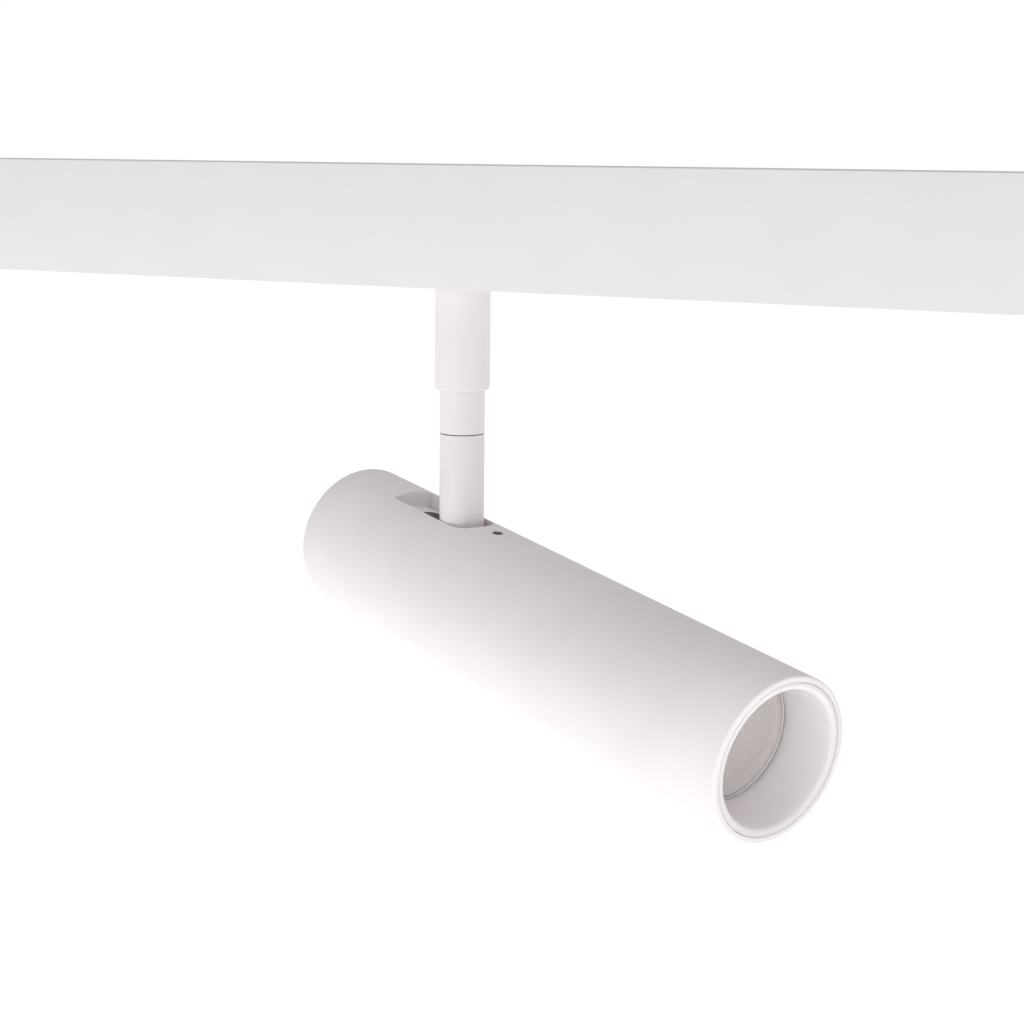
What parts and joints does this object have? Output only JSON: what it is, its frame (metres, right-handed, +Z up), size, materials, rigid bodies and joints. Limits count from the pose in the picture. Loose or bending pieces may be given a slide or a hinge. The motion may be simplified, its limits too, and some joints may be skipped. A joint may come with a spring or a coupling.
{
  "type": "track lighting fixture",
  "caption": "Slim cylindrical spotlight hung by a stem from a ceiling lighting track, with a sliding adapter, a stem swivel and a tilting head.",
  "frame": {"origin": "on the stem's swivel axis, at the flat top face of the track", "axes": "+Z up into the ceiling, +X along the track, +Y across the track; the head leans towards +X and -Y"},
  "size_m": [0.5046, 0.1172, 0.1563],
  "materials": {
    "track_paint": "smooth matt white powder coat on extruded aluminium",
    "head_paint": "fine-textured matt white powder coat on turned aluminium",
    "white_plastic": "moulded white polycarbonate, fine satin",
    "carrier_plastic": "extruded light grey PVC",
    "black_plastic": "moulded black nylon",
    "baffle_paint": "moulded matt white polycarbonate",
    "copper": "bare drawn copper",
    "brass": "turned brass",
    "steel": "bright zinc-plated steel",
    "heat_sink_metal": "turned bare aluminium",
    "circuit_board": "green solder mask on glass-epoxy board",
    "ceramic": "white fired alumina",
    "phosphor": "yellow phosphor in silicone",
    "rubber": "black nitrile rubber",
    "clear_plastic": "clear moulded acrylic with a patterned face"
  },
  "bodies": {
    "track": {"track_profile": "track_paint", "conductor_carrier_front": "carrier_plastic", "conductor_carrier_rear": "carrier_plastic", "conductor_upper_front": "copper", "conductor_lower_front": "copper", "conductor_upper_rear": "copper", "conductor_lower_rear": "copper", "end_cap_left": "white_plastic", "end_cap_right": "white_plastic", "end_cap_screw_left": "steel", "end_cap_screw_right": "steel", "feed_block": "white_plastic"},
    "adapter": {"adapter_housing": "white_plastic", "adapter_lid": "white_plastic", "driver_board": "circuit_board", "driver_transformer": "black_plastic", "driver_capacitor": "rubber", "threaded_nipple": "brass", "toothed_washer": "steel", "nipple_nut": "brass", "stem_sleeve": "head_paint", "upper_rod": "head_paint", "swivel_bush": "brass"},
    "lock": {"lock_knob": "white_plastic", "lock_cam": "steel"},
    "contacts": {"contact_knob": "white_plastic", "contact_post": "black_plastic", "phase_blade": "copper", "neutral_blade": "copper"},
    "stem": {"lower_rod": "head_paint", "swivel_spindle": "steel", "retaining_clip": "steel", "swivel_washer": "black_plastic"},
    "head": {"main_tube": "head_paint", "rear_cap": "head_paint", "pivot_block": "head_paint", "cap_seal": "rubber", "pivot_pin": "steel", "spring_washer_front": "steel", "spring_washer_rear": "steel", "grub_screw": "steel", "heat_sink": "heat_sink_metal", "led_board": "ceramic", "led_emitter": "phosphor", "led_holder": "white_plastic", "led_screw_front": "steel", "led_screw_rear": "steel", "lens": "clear_plastic", "lens_cup": "white_plastic", "baffle": "baffle_paint"}
  },
  "joints": [
    {"name": "track_slide", "type": "slide", "parent": "track", "child": "adapter", "axis": [1, 0, 0], "range_m": [-0.15, 0.125]},
    {"name": "lock_turn", "type": "hinge", "parent": "adapter", "child": "lock", "pos_m": [-0.025, 0, -0.0325], "axis": [0, 0, 1], "range_deg": [-90, 0]},
    {"name": "contact_turn", "type": "hinge", "parent": "adapter", "child": "contacts", "pos_m": [0.026, 0, -0.0325], "axis": [0, 0, 1], "range_deg": [-90, 0]},
    {"name": "stem_swivel", "type": "hinge", "parent": "adapter", "child": "stem", "pos_m": [0, 0, -0.07364], "axis": [0, 0, 1], "range_deg": [-175, 175]},
    {"name": "head_tilt", "type": "hinge", "parent": "stem", "child": "head", "pos_m": [0, 0, -0.10824], "axis": [0.4479, 0.8941, 0], "range_deg": [-12.73, 42.27]}
  ]
}
